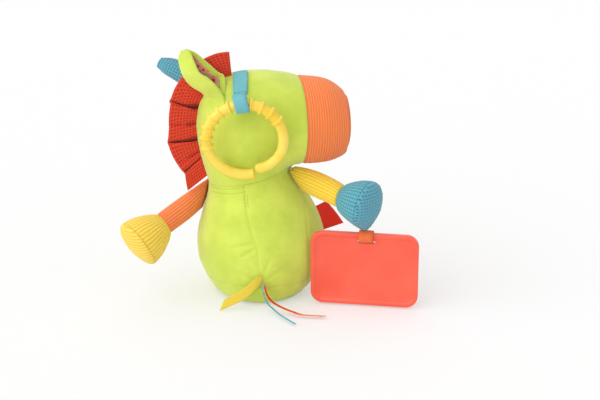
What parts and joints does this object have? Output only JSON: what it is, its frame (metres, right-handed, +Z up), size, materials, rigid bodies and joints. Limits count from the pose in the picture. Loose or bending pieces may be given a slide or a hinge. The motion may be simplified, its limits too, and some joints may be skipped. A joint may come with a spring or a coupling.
{
  "type": "stuffed toy animal",
  "caption": "Stuffed pony with a sideways head, pleated mane, two soft arms, a grip ring on a ribbon and a baby mirror on one hoof.",
  "frame": {"origin": "centre of the flat base's underside", "axes": "+Z up, +Y towards the tail and back seam, -X towards the toy's right arm and the snout"},
  "size_m": [0.2941, 0.166, 0.2522],
  "materials": {
    "lime_pile": "short-pile velour",
    "orange_cord": "fine corduroy",
    "red_waffle": "waffle knit",
    "teal_waffle": "waffle knit",
    "orange_rib": "rib knit",
    "yellow_rib": "rib knit",
    "yellow_waffle": "waffle knit",
    "printed_cotton": "printed woven cotton",
    "teal_ribbon": "woven ribbon",
    "orange_ribbon": "woven ribbon",
    "yellow_ribbon": "woven ribbon",
    "red_satin": "satin ribbon",
    "dark_thread": "embroidery",
    "polyester_fill": "loose fibre fill",
    "bean_fill": "pellets in a cloth bag",
    "yellow_plastic": "moulded, satin",
    "coral_plastic": "moulded, satin",
    "mirror_foil": "mirror film on plastic"
  },
  "bodies": {
    "torso": {"body_cover": "lime_pile", "base_panel": "lime_pile", "body_stuffing": "polyester_fill", "bean_bag": "bean_fill", "side_tab": "red_satin"},
    "tail": {"tail_ribbon_yellow": "yellow_ribbon", "tail_ribbon_teal": "teal_ribbon", "tail_ribbon_orange": "orange_ribbon"},
    "head": {"head_cover": "lime_pile", "head_stuffing": "polyester_fill", "muzzle_cover": "orange_cord", "muzzle_end_panel": "orange_cord", "mane_frill": "red_waffle", "ring_strap": "teal_ribbon", "eye_patch": "dark_thread"},
    "ear_right": {"ear_right_outer": "lime_pile", "ear_right_lining": "printed_cotton"},
    "ear_left": {"ear_left_outer": "teal_waffle", "ear_left_lining": "lime_pile"},
    "loop": {"ring_loop": "teal_ribbon"},
    "ring": {"teething_ring": "yellow_plastic"},
    "arm_left": {"arm_left_sleeve": "orange_rib", "arm_left_stuffing": "polyester_fill", "hoof_left": "yellow_waffle", "hoof_left_sole": "yellow_waffle"},
    "arm_right": {"arm_right_sleeve": "yellow_rib", "arm_right_stuffing": "polyester_fill", "hoof_right": "teal_waffle", "hoof_right_sole": "teal_waffle"},
    "strap": {"mirror_strap": "orange_ribbon"},
    "mirror": {"mirror_back": "coral_plastic", "mirror_bezel": "coral_plastic", "mirror_sheet": "mirror_foil"}
  },
  "joints": [
    {"name": "head_turn", "type": "hinge", "parent": "torso", "child": "head", "pos_m": [0.015, 0, 0.121], "axis": [0.1908, 0, 0.9816], "range_deg": [-20, 20], "stiffness_Nm_per_rad": 0.05},
    {"name": "ear_right_flop", "type": "hinge", "parent": "head", "child": "ear_right", "pos_m": [0.04746, 0.018, 0.2079], "axis": [-0.8203, 0.4091, 0.3996], "range_deg": [-4, 18], "stiffness_Nm_per_rad": 0.01},
    {"name": "ear_left_flop", "type": "hinge", "parent": "head", "child": "ear_left", "pos_m": [0.05129, -0.01376, 0.20715], "axis": [-0.3177, -0.9284, 0.1927], "range_deg": [-15, 15], "stiffness_Nm_per_rad": 0.01},
    {"name": "ring_loop_swing", "type": "hinge", "parent": "head", "child": "loop", "pos_m": [0.01803, 0.03449, 0.2081], "axis": [0.9925, -0.017, -0.1211], "range_deg": [0, 80]},
    {"name": "ring_turn", "type": "hinge", "parent": "loop", "child": "ring", "pos_m": [0.0135, 0.05138, 0.17136], "axis": [0, 0.9903, -0.1392], "continuous": true},
    {"name": "arm_left_swing", "type": "hinge", "parent": "torso", "child": "arm_left", "pos_m": [0.05749, -0.00193, 0.09733], "axis": [0, 0, -1], "range_deg": [0, 40], "stiffness_Nm_per_rad": 0.02},
    {"name": "arm_right_swing", "type": "hinge", "parent": "torso", "child": "arm_right", "pos_m": [-0.03333, 0.00716, 0.11505], "axis": [0, 0, 1], "range_deg": [0, 40], "stiffness_Nm_per_rad": 0.02},
    {"name": "mirror_strap_swing", "type": "hinge", "parent": "arm_right", "child": "strap", "pos_m": [-0.1036, 0.0528, 0.07984], "axis": [0.9877, -0.1564, 0], "range_deg": [0, 35]},
    {"name": "mirror_swing", "type": "hinge", "parent": "strap", "child": "mirror", "pos_m": [-0.1036, 0.0528, 0.07304], "axis": [0.9877, -0.1564, 0], "range_deg": [0, 45]},
    {"name": "tail_swing", "type": "hinge", "parent": "torso", "child": "tail", "pos_m": [-0.0028, 0.06064, 0.026], "axis": [0, 0, 1], "range_deg": [-12, 8]}
  ]
}
